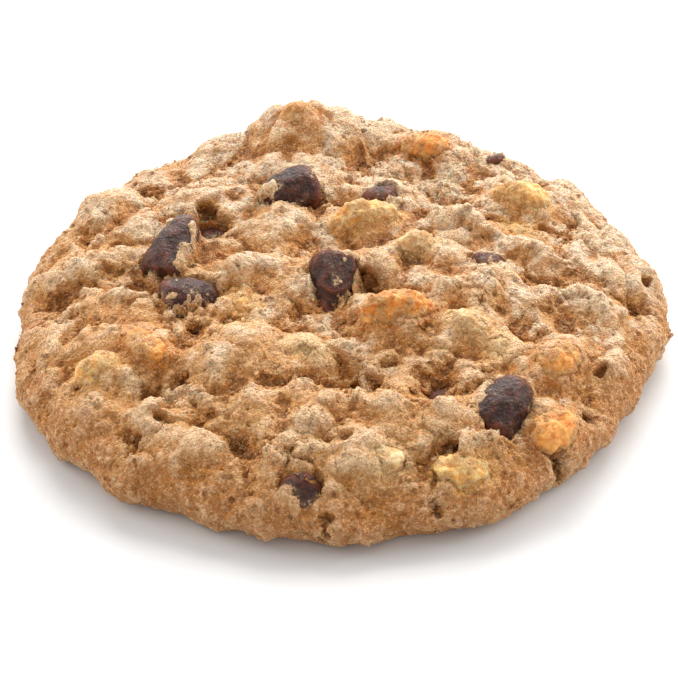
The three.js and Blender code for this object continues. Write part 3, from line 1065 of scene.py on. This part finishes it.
@dataclass
class Crumbs:
    """Small broken bits of baked dough that lie in the torn hollows of the crust."""

    kind: CrumbKind
    count: int
    smallest: float
    largest: float
    subdivisions: int
    seed: int
    shapes: int = 24

    def templates(self) -> tuple[np.ndarray, np.ndarray]:
        """Uneven unit bits.

        Returns:
            The vertices of each shape, and the triangles that they share.
        """
        mesh = bpy.data.meshes.new("bit")
        form = bmesh.new()
        bmesh.ops.create_icosphere(form, subdivisions=self.subdivisions, radius=1.0)
        form.to_mesh(mesh)
        form.free()
        ball = np.array([v.co for v in mesh.vertices])
        triangles = np.array([tuple(p.vertices) for p in mesh.polygons])
        bpy.data.meshes.remove(mesh)
        shapes = []
        for shape in range(self.shapes):
            swell = 1 + 0.9 * swell_noise(ball + 11.3 * shape, 0.8, self.seed + shape)
            shapes.append(ball * swell[:, None])
        return np.array(shapes), triangles

    def scatter(self, crust: Skin) -> Skin:
        """Sets the bits on the crust.

        Args:
            crust: The crust's finished skin.

        Returns:
            One joined skin of all bits, with the crust's traits where each one lies.
        """
        draw = np.random.default_rng(self.seed)
        corners = crust.vertices[crust.triangles]
        face = np.cross(corners[:, 1] - corners[:, 0], corners[:, 2] - corners[:, 0])
        area = np.linalg.norm(face, axis=1)
        trait = {name: values[crust.triangles].mean(1) for name, values in crust.traits.items()}
        upper = 1 - smooth_step(0.05, 0.4, trait["under"])
        weight = area * upper * (0.02 + trait["torn"] * (0.3 + trait["hollow"]))
        chosen = draw.choice(len(area), self.count, p=weight / weight.sum())
        # The power makes small bits more common than large ones.
        size = self.smallest * (self.largest / self.smallest) ** draw.random(self.count) ** 1.6
        shapes, triangles = self.templates()
        squash = 0.7 + 0.6 * draw.random((self.count, 1, 3))
        bits = shapes[draw.integers(0, self.shapes, self.count)] * squash * (size / 2)[:, None, None]
        bits = np.einsum("nij,nkj->nki", random_turns(draw, self.count), bits)
        normal = face / np.maximum(area, 1e-12)[:, None]
        stand = size * (0.2 * draw.random(self.count) - 0.05)
        place = corners[chosen].mean(1) + normal[chosen] * stand[:, None]
        vertices = (bits + place[:, None, :]).reshape(-1, 3)
        per_bit = shapes.shape[1]
        joined = (triangles[None] + per_bit * np.arange(self.count)[:, None, None]).reshape(-1, 3)
        traits = {name: np.repeat(values[chosen], per_bit) for name, values in trait.items()}
        # Bits carry less of the painted shade of the hollows that they lie in.
        traits["hollow"] = traits["hollow"] * 0.7
        browner = 0.5 * draw.random(self.count) - 0.2
        traits["toast_and_front_shade"] = np.clip(traits["toast_and_front_shade"] + np.repeat(browner, per_bit), 0, 1)
        skin = Skin(vertices, joined, traits)
        skin.keep_above_table()
        return skin


def random_turns(draw: np.random.Generator, count: int) -> np.ndarray:
    """Even random rotations as matrices, made from random unit quaternions."""
    q = draw.normal(size=(count, 4))
    w, x, y, z = (q / np.linalg.norm(q, axis=1, keepdims=True)).T
    rows = (
        (1 - 2 * (y * y + z * z), 2 * (x * y - w * z), 2 * (x * z + w * y)),
        (2 * (x * y + w * z), 1 - 2 * (x * x + z * z), 2 * (y * z - w * x)),
        (2 * (x * z - w * y), 2 * (y * z + w * x), 1 - 2 * (x * x + y * y)),
    )
    return np.stack([np.stack(row, axis=1) for row in rows], axis=1)


class Layer(NamedTuple):
    """A colour laid over another where a pattern runs from low to high, up to a greatest share."""

    colour: str
    pattern: bpy.types.NodeSocket
    low: float
    high: float
    most: float


@dataclass
class Surface:
    """A material that is being put together: its node tree, its shader and the places on the mesh."""

    name: str
    material: bpy.types.Material = field(init=False)
    tree: bpy.types.NodeTree = field(init=False)
    shader: bpy.types.Node = field(init=False)
    place: bpy.types.NodeSocket = field(init=False)

    def __post_init__(self) -> None:
        """Starts the material."""
        self.material = bpy.data.materials.new(self.name)
        self.material.use_nodes = True
        self.tree = self.material.node_tree
        self.shader = self.tree.nodes["Principled BSDF"]
        self.place = self.node("ShaderNodeTexCoord").outputs["Object"]

    def node(self, kind: str, inputs: dict | None = None, **settings: object) -> bpy.types.Node:
        """Adds a node with its settings and links.

        Args:
            kind: Blender's type name of the node.
            inputs: Values, or sockets to link, by input name or number.
            settings: Properties of the node.

        Returns:
            The new node.
        """
        node = self.tree.nodes.new(kind)
        for name, value in settings.items():
            setattr(node, name, value)
        for socket, value in (inputs or {}).items():
            if isinstance(value, bpy.types.NodeSocket):
                self.tree.links.new(value, node.inputs[socket])
            else:
                node.inputs[socket].default_value = value
        return node

    def patterns(self, traits: tuple[str, ...], swells: dict[str, float]) -> dict[str, bpy.types.NodeSocket]:
        """Makes the patterns that the colours follow.

        Args:
            traits: Names of traits that the mesh carries.
            swells: Sizes in millimetres of random swells, by name.

        Returns:
            The patterns by name, each from 0 to 1.
        """
        found = {}
        for name in traits:
            found[name] = self.node("ShaderNodeAttribute", attribute_name=name).outputs["Fac"]
        for name, size in swells.items():
            inputs = {"Vector": self.place, "Scale": 1 / (size * MM), "Detail": 3.0, "Roughness": 0.6}
            found[name] = self.node("ShaderNodeTexNoise", inputs).outputs["Fac"]
        return found

    def both(self, first: bpy.types.NodeSocket, second: bpy.types.NodeSocket) -> bpy.types.NodeSocket:
        """A pattern that is strong only where both patterns are."""
        return self.node("ShaderNodeMath", {0: first, 1: second}, operation="MULTIPLY").outputs["Value"]

    def paint(self, ground: str, *layers: Layer) -> None:
        """Lays colours over the ground colour in order.

        Args:
            ground: The lowest colour.
            layers: What goes over it.
        """
        colour: object = linear(ground)
        for layer in layers:
            inputs = {
                "Value": layer.pattern,
                "From Min": layer.low,
                "From Max": layer.high,
                "To Max": layer.most,
            }
            share = self.node("ShaderNodeMapRange", inputs, interpolation_type="SMOOTHSTEP")
            # Inputs 6 and 7 and output 2 are the ones that the mix node has for colours.
            mix = {0: share.outputs["Result"], 6: colour, 7: linear(layer.colour)}
            colour = self.node("ShaderNodeMix", mix, data_type="RGBA").outputs[2]
        self.tree.links.new(colour, self.shader.inputs["Base Color"])

    def emboss(self, *grains: tuple[bpy.types.NodeSocket, float]) -> None:
        """Raises patterns from the surface, each by its own depth in millimetres."""
        for height, depth in grains:
            inputs = {"Strength": 1.0, "Distance": depth * MM, "Height": height}
            if self.shader.inputs["Normal"].is_linked:
                inputs["Normal"] = self.shader.inputs["Normal"].links[0].from_socket
            bump = self.node("ShaderNodeBump", inputs)
            self.tree.links.new(bump.outputs["Normal"], self.shader.inputs["Normal"])

    def settle(self, **constants: object) -> bpy.types.Material:
        """Sets the shader's even values, with spaces for underscores in the sockets' names."""
        for name, value in constants.items():
            self.shader.inputs[name.replace("_", " ")].default_value = value
        return self.material


@dataclass(frozen=True)
class BakedDough:
    """Butter dough baked to a dry crust: tan skin, browned rim and a fine sugary grain, with crests and
    ridges painted pale as if lit and hollows, folds and creases painted as if shaded.
    """

    tan: str = "#DCA468"
    # Random pale patches, and painted light on crests and on the up-facing, back and right sides.
    pale: str = "#F6E0C2"
    # Random golden mottling, and painted shade in the folds, partly their own golden colour.
    golden_and_fold_shade: str = "#D48C3E"
    # Browned rim and random toasting, with painted shade at the rim's front.
    toasted: str = "#C47E40"
    # Open crumb in the hollows; its share there is also painted shade.
    crumb: str = "#B06A32"
    cream: str = "#F8CA8C"
    gold: str = "#F0B062"
    amber: str = "#E08A38"
    # Dark flecks, and painted shade in the fine creases.
    fleck: str = "#834E2E"
    # Bran specks, and painted shade in the gaps between grains.
    bran_and_gap_shade: str = "#A06C3C"
    # Sugar grains, and painted highlights on the fine ridges.
    sugar: str = "#FFDAAA"
    cocoa: str = "#5A3A2C"
    mottle_size: float = 1.9
    fleck_size: float = 0.5
    grain_size: float = 0.3
    fine_size: float = 0.22
    roughness: float = 0.5

    def material(self) -> bpy.types.Material:
        """Dry flour and sugar scatter light softly, so the crust is matte, coloured in patches and flecks."""
        surface = Surface("baked_dough")
        glows = [tone.glow for tone in NutTone]
        pattern = surface.patterns(
            ("pale", "lit_crest", "lit_ridge", "hollow", "shaded_fold", "crease", "toast_and_front_shade", "stain", *glows),
            {"mottle": self.mottle_size, "fleck": self.fleck_size, "fine": self.fine_size},
        )
        cells = {"Vector": surface.place, "Scale": 1 / (self.grain_size * MM)}
        grains = surface.node("ShaderNodeTexVoronoi", cells)
        own = surface.node("ShaderNodeSeparateColor", {"Color": grains.outputs["Color"]}).outputs["Red"]
        surface.paint(
            self.tan,
            # Random pale patches, with painted light on the up-facing, back and right sides.
            Layer(self.pale, pattern["pale"], 0.0, 1.0, 0.78),
            # Painted highlight on the crests.
            Layer(self.pale, pattern["lit_crest"], 0.05, 0.8, 0.4),
            # Browned rim and random toasting; the rim's front is darker as painted shade.
            Layer(self.toasted, pattern["toast_and_front_shade"], 0.1, 0.9, 0.85),
            Layer(self.golden_and_fold_shade, pattern["mottle"], 0.47, 0.62, 0.45),
            # Painted shade in the folds, partly their own golden colour.
            Layer(self.golden_and_fold_shade, pattern["shaded_fold"], 0.1, 0.9, 0.8),
            # Open crumb colour in the hollows, darker as painted shade.
            Layer(self.crumb, pattern["hollow"], 0.1, 0.9, 0.5),
            Layer(self.cream, pattern[NutTone.CREAM.glow], 0.1, 1.0, 0.65),
            Layer(self.gold, pattern[NutTone.GOLD.glow], 0.1, 1.0, 0.75),
            Layer(self.amber, pattern[NutTone.AMBER.glow], 0.1, 1.0, 0.65),
            Layer(self.fleck, pattern["fleck"], 0.64, 0.75, 0.2),
            # Painted shade in the fine creases.
            Layer(self.fleck, pattern["crease"], 0.0, 1.0, 0.32),
            # Painted highlight on the fine ridges.
            Layer(self.sugar, pattern["lit_ridge"], 0.0, 1.0, 0.32),
            Layer(self.bran_and_gap_shade, own, 0.4, 0.0, 0.35),
            Layer(self.sugar, own, 0.6, 1.0, 0.4),
            # Painted shade in the gaps between grains.
            Layer(self.bran_and_gap_shade, grains.outputs["Distance"], 0.45, 0.8, 0.35),
            Layer(self.cocoa, pattern["stain"], 0.2, 1.0, 0.2),
        )
        falling = {0: 1.0, 1: grains.outputs["Distance"]}
        mound = surface.node("ShaderNodeMath", falling, operation="SUBTRACT")
        surface.emboss((mound.outputs["Value"], 0.35), (pattern["fine"], 0.25))
        return surface.settle(
            Roughness=self.roughness,
            Specular_IOR_Level=0.25,
            Subsurface_Weight=0.35,
            Subsurface_Radius=(1.0, 0.5, 0.2),
            Subsurface_Scale=0.4 * MM,
        )


@dataclass(frozen=True)
class BakedChocolate:
    """Dark chocolate that softened in the oven and set again: satin, wrinkled and smeared with dough."""

    body: str = "#361F19"
    # Rubbed convex edges, also painted lighter and redder as a lit edge; the wrinkles take this colour too.
    worn: str = "#7C4430"
    dust: str = "#B0937A"
    dough: str = "#D3AE82"
    wrinkle_size: float = 1.4
    dust_size: float = 0.45
    roughness: float = 0.35

    def material(self) -> bpy.types.Material:
        """Cocoa butter sets to a satin skin, which dry crumb dusts in specks and smears."""
        surface = Surface("baked_chocolate")
        pattern = surface.patterns(("smear", "worn"), {"wrinkle": self.wrinkle_size, "dust": self.dust_size})
        smear = surface.both(pattern["dust"], pattern["smear"])
        surface.paint(
            self.body,
            # Convex edges: partly rubbed wear, partly a painted highlight.
            Layer(self.worn, pattern["worn"], 0.1, 1.0, 0.8),
            Layer(self.worn, pattern["wrinkle"], 0.4, 0.7, 0.4),
            Layer(self.dust, pattern["dust"], 0.6, 0.75, 0.35),
            Layer(self.dust, pattern["smear"], 0.35, 1.0, 0.2),
            Layer(self.dough, smear, 0.45, 0.6, 0.9),
        )
        surface.emboss((pattern["wrinkle"], 0.3), (smear, 0.3), (pattern["dust"], 0.3))
        return surface.settle(Roughness=self.roughness, Specular_IOR_Level=0.25)


@dataclass(frozen=True)
class ToastedNut:
    """Chopped nut, oven toasted: waxy and a little translucent, from cream to amber."""

    tone: NutTone
    film: str = "#E6BC86"
    fleck: str = "#B0723E"
    roughness: float = 0.42
    mottle_size: float = 1.3
    grain_size: float = 0.4

    def colours(self) -> tuple[str, str]:
        """Flesh and toasted colour of the tone."""
        return {
            NutTone.CREAM: ("#FCD8A2", "#F6C07C"),
            NutTone.GOLD: ("#FCCE84", "#F0AA54"),
            NutTone.AMBER: ("#F4AE58", "#E48A34"),
        }[self.tone]

    def material(self) -> bpy.types.Material:
        """Oil in the cut flesh lets light in and gives a waxy shine."""
        surface = Surface(f"toasted_nut_{self.tone.value}")
        flesh, toasted = self.colours()
        pattern = surface.patterns(("film",), {"mottle": self.mottle_size, "grain": self.grain_size})
        film = surface.both(pattern["grain"], pattern["film"])
        surface.paint(
            flesh,
            Layer(toasted, pattern["mottle"], 0.4, 0.62, 1.0),
            Layer(self.film, film, 0.25, 0.5, 0.5),
            Layer(self.fleck, pattern["grain"], 0.62, 0.75, 0.15),
        )
        surface.emboss((pattern["mottle"], 0.5), (film, 0.4), (pattern["grain"], 0.3))
        return surface.settle(
            Roughness=self.roughness,
            Specular_IOR_Level=0.45,
            Subsurface_Weight=0.25,
            Subsurface_Radius=(1.0, 0.6, 0.25),
            Subsurface_Scale=1.2 * MM,
        )


@dataclass
class Cookie:
    """The whole cookie: crust, chips, nuts and crumb."""

    # Tones of nut_1 and on, in order.
    nut_tones: tuple[NutTone, ...] = tuple(
        NutTone[tone]
        for tone in (
            "AMBER AMBER GOLD CREAM GOLD GOLD "
            "AMBER CREAM CREAM GOLD CREAM CREAM "
            "AMBER GOLD AMBER AMBER GOLD CREAM"
        ).split()
    )
    # Side that the dough is drawn over each chip from, in degrees, and how much of the chip it hides.
    chip_covers: tuple[tuple[float, float], ...] = (
        (-20, 0.35),
        (-95, 0.42),
        (185, 0.42),
        (15, 0.52),
        (145, 0.5),
        (-90, 0.3),
        (90, 0.3),
        (-60, 0.3),
        (-90, 0.3),
        (90, 0.45),
        (90, 0.2),
    )
    # Turn in degrees from the side that one nut is covered from to the next one's.
    nut_cover_turn: float = 137.5
    # First seeds of the chips and nuts, and the step between pieces.
    chip_seed: int = 100
    nut_seed: int = 300
    seed_step: int = 10

    def finish_piece(
        self, skin: Skin, name: str, material: bpy.types.Material
    ) -> bpy.types.Object:
        """Makes a piece that rides on the cookie.

        Args:
            skin: Its form.
            name: Its name.
            material: Its finish.

        Returns:
            The object.
        """
        piece = skin.build(name)
        piece.data.materials.append(material)
        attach(piece, "root")
        LOG.info("%s: %d triangles", name, len(skin.triangles))
        return piece

    def build(self) -> None:
        """Makes every piece and puts it in its solid's place."""
        chips = [
            Chip(f"chip_{i + 1}", self.chip_seed + self.seed_step * i, cover_from=side, cover_share=share)
            for i, (side, share) in enumerate(self.chip_covers)
        ]
        nuts = [
            Nut(
                f"nut_{i + 1}",
                self.nut_seed + self.seed_step * i,
                cover_from=self.nut_cover_turn * i,
                tone=tone,
            )
            for i, tone in enumerate(self.nut_tones)
        ]
        dough_skin = Crust()
        crust = dough_skin.build([*chips, *nuts])
        dough = BakedDough().material()
        for name, part in dough_skin.pieces(crust).items():
            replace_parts(self.finish_piece(part, name, dough), "dough")
        for crumbs in (
            Crumbs(CrumbKind.FRAGMENT, count=220, smallest=0.7, largest=1.3, subdivisions=2, seed=501),
            Crumbs(CrumbKind.GRANULE, count=6000, smallest=0.25, largest=0.6, subdivisions=1, seed=502),
        ):
            self.finish_piece(crumbs.scatter(crust), f"crumb_{crumbs.kind.value}s", dough)
        chocolate = BakedChocolate().material()
        for chip in chips:
            chip.weather(crust)
            piece = self.finish_piece(chip.skin, f"baked_{chip.node}", chocolate)
            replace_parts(piece, chip.node)
        nut_finish = {tone: ToastedNut(tone).material() for tone in NutTone}
        for nut in nuts:
            nut.weather(crust)
            piece = self.finish_piece(nut.skin, f"baked_{nut.node}", nut_finish[nut.tone])
            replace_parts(piece, nut.node)


@dataclass(frozen=True)
class SoftBox:
    """A square studio lamp: where it hangs, its width and its power in watts."""

    name: str
    place: tuple[float, float, float]
    side: float
    power: float

    def build(self) -> None:
        """Hangs the lamp and aims it at the cookie."""
        lamp = bpy.data.lights.new(self.name, "AREA")
        lamp.size = self.side * MM
        lamp.energy = self.power
        box = bpy.data.objects.new(self.name, lamp)
        box.location = Vector(self.place) * MM
        box.rotation_euler = (-box.location).to_track_quat("-Z", "Y").to_euler()
        bpy.context.scene.collection.objects.link(box)


@dataclass
class Studio:
    """A pale table, soft light from above and behind, and the camera."""

    elevation_deg: float = 36.5
    distance: float = 450.0
    pixels_per_mm: float = 7.36
    aim: tuple[float, float, float] = (-0.6, 1.4, 0.0)
    floor_side: float = 6000.0
    floor_colour: str = "#DCDBDA"
    surrounding_light: float = 0.8
    lamps: tuple[SoftBox, ...] = (
        SoftBox("soft_box_back", (80, 950, 640), 1000, 18.5),
        SoftBox("soft_box_left", (-900, 250, 450), 700, 4.5),
        SoftBox("soft_box_right", (900, 350, 450), 700, 7.0),
    )

    def floor(self) -> None:
        """A wide plain board under the cookie."""
        half = self.floor_side / 2
        corners = np.array([(-half, -half, 0), (half, -half, 0), (half, half, 0), (-half, half, 0)], float)
        board = Skin(corners, np.array([(0, 1, 2), (0, 2, 3)])).build("floor")
        surface = Surface("lacquered_board")
        # Lacquer over white board: an even pale ground with a faint gloss.
        board.data.materials.append(
            surface.settle(Base_Color=linear(self.floor_colour), Roughness=0.45, Specular_IOR_Level=0.3)
        )

    def camera(self) -> None:
        """Looks along +Y and down, as the cookie is seen."""
        lens = bpy.data.cameras.new("camera")
        lens.sensor_width = SENSOR_MM
        lens.lens = SENSOR_MM * self.pixels_per_mm * self.distance / IMAGE_SIDE_PX
        lens.clip_start = 0.01
        lens.clip_end = 50.0
        seat = bpy.data.objects.new("camera", lens)
        slope = math.radians(self.elevation_deg)
        back = Vector((0, -math.cos(slope), math.sin(slope)))
        seat.location = (Vector(self.aim) + back * self.distance) * MM
        seat.rotation_euler = back.to_track_quat("Z", "Y").to_euler()
        bpy.context.scene.collection.objects.link(seat)
        bpy.context.scene.camera = seat

    def build(self) -> None:
        """Sets the stage."""
        self.floor()
        for lamp in self.lamps:
            lamp.build()
        world = bpy.data.worlds.new("studio")
        bpy.context.scene.world = world
        world.use_nodes = True
        background = world.node_tree.nodes["Background"]
        background.inputs["Strength"].default_value = self.surrounding_light
        background.inputs["Color"].default_value = (1.0, 1.0, 1.0, 1.0)
        bpy.context.scene.view_settings.view_transform = "Standard"
        self.camera()


def main() -> None:
    """Builds the studio and the cookie."""
    logging.basicConfig(level=logging.INFO, format="%(message)s")
    Studio().build()
    Cookie().build()


if __name__ == "__main__":
    main()
